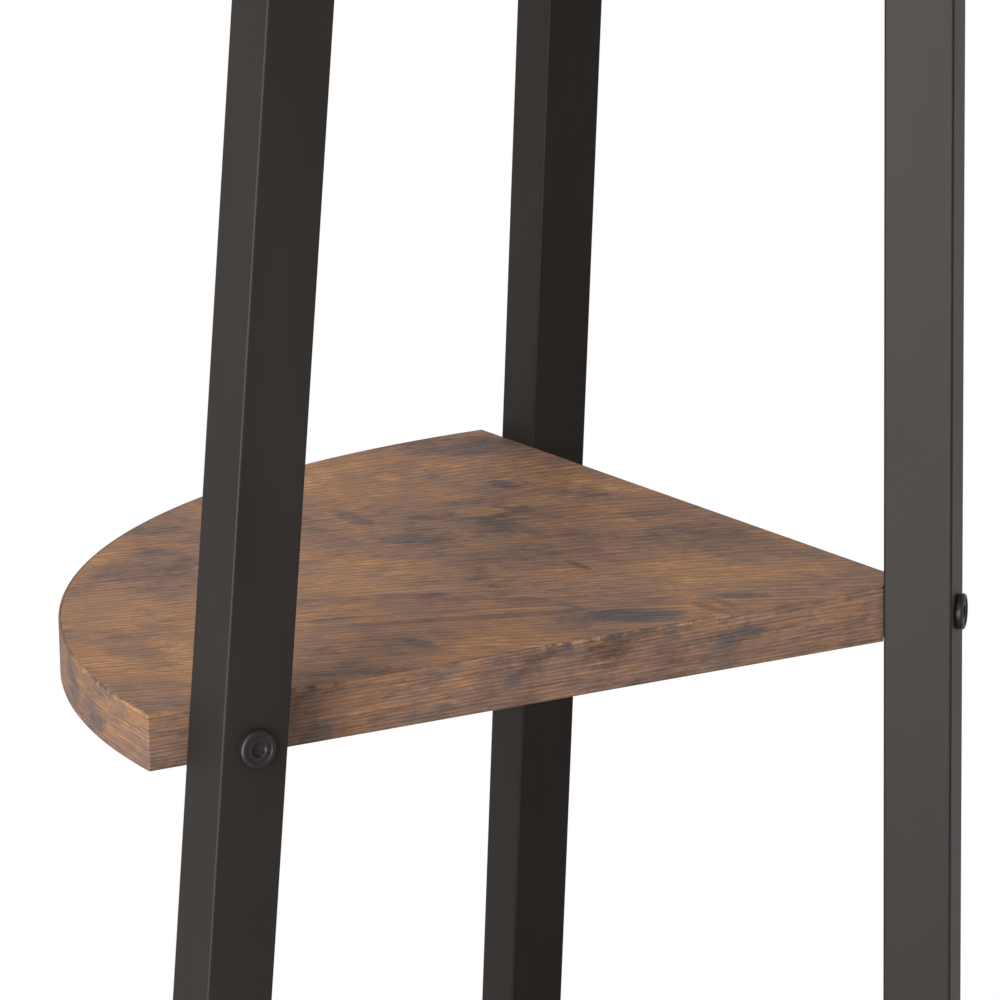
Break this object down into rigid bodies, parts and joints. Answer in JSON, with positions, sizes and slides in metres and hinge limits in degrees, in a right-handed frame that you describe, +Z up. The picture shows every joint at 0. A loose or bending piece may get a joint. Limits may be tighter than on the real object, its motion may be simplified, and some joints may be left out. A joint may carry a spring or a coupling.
{
  "type": "corner shelf unit",
  "caption": "Corner shelf unit of quarter-round wooden boards bolted to an upright rear post and leaning front legs of dark square tube, on levelling feet.",
  "frame": {"origin": "centre of the rear post's foot, on the floor", "axes": "+X and +Y run along the two walls away from the corner, +Z is up"},
  "size_m": [0.3723, 0.3723, 1.4033],
  "materials": {
    "board": "rustic brown board with streaked grain, satin",
    "tube": "dark brown-black powder coat, fine texture",
    "bolt": "black oxide, satin",
    "zinc": "zinc plated",
    "plastic": "black moulded polymer"
  },
  "bodies": {
    "frame": {"shelf_1": "board", "shelf_2": "board", "shelf_3": "board", "shelf_4": "board", "shelf_5": "board", "left_leg": "tube", "left_top_cap": "plastic", "left_foot_plug": "plastic", "bolt_left_1": "bolt", "barrel_left_1": "zinc", "bolt_left_2": "bolt", "barrel_left_2": "zinc", "bolt_left_3": "bolt", "barrel_left_3": "zinc", "bolt_left_4": "bolt", "barrel_left_4": "zinc", "bolt_left_5": "bolt", "barrel_left_5": "zinc", "right_leg": "tube", "right_top_cap": "plastic", "right_foot_plug": "plastic", "bolt_right_1": "bolt", "barrel_right_1": "zinc", "bolt_right_2": "bolt", "barrel_right_2": "zinc", "bolt_right_3": "bolt", "barrel_right_3": "zinc", "bolt_right_4": "bolt", "barrel_right_4": "zinc", "bolt_right_5": "bolt", "barrel_right_5": "zinc", "rear_post": "tube", "rear_top_cap": "plastic", "rear_foot_plug": "plastic", "bolt_rear_1": "bolt", "barrel_rear_1": "zinc", "bolt_rear_2": "bolt", "barrel_rear_2": "zinc", "bolt_rear_3": "bolt", "barrel_rear_3": "zinc", "bolt_rear_4": "bolt", "barrel_rear_4": "zinc", "bolt_rear_5": "bolt", "barrel_rear_5": "zinc"},
    "left_pad": {"left_foot_pad": "plastic"},
    "left_stem": {"left_foot_stem": "zinc"},
    "right_pad": {"right_foot_pad": "plastic"},
    "right_stem": {"right_foot_stem": "zinc"},
    "rear_pad": {"rear_foot_pad": "plastic"},
    "rear_stem": {"rear_foot_stem": "zinc"}
  },
  "joints": [
    {"name": "left_foot_travel", "type": "slide", "parent": "frame", "child": "left_pad", "axis": [0, 0, -1], "range_m": [0, 0.0151]},
    {"name": "left_foot_screw", "type": "hinge", "parent": "left_pad", "child": "left_stem", "pos_m": [0.32634, -0.01117, 0.02], "axis": [0, 0, -1], "range_deg": [0, 4320]},
    {"name": "right_foot_travel", "type": "slide", "parent": "frame", "child": "right_pad", "axis": [0, 0, -1], "range_m": [0, 0.0151]},
    {"name": "right_foot_screw", "type": "hinge", "parent": "right_pad", "child": "right_stem", "pos_m": [-0.01117, 0.32634, 0.02], "axis": [0, 0, -1], "range_deg": [0, 4320]},
    {"name": "rear_foot_travel", "type": "slide", "parent": "frame", "child": "rear_pad", "axis": [0, 0, -1], "range_m": [0, 0.0151]},
    {"name": "rear_foot_screw", "type": "hinge", "parent": "rear_pad", "child": "rear_stem", "pos_m": [0, 0, 0.02], "axis": [0, 0, -1], "range_deg": [0, 4320]}
  ],
  "couplings": [
    {"joint": "left_foot_travel", "follows": "left_foot_screw", "m_per_rad": 0.00019894},
    {"joint": "right_foot_travel", "follows": "right_foot_screw", "m_per_rad": 0.00019894},
    {"joint": "rear_foot_travel", "follows": "rear_foot_screw", "m_per_rad": 0.00019894}
  ]
}
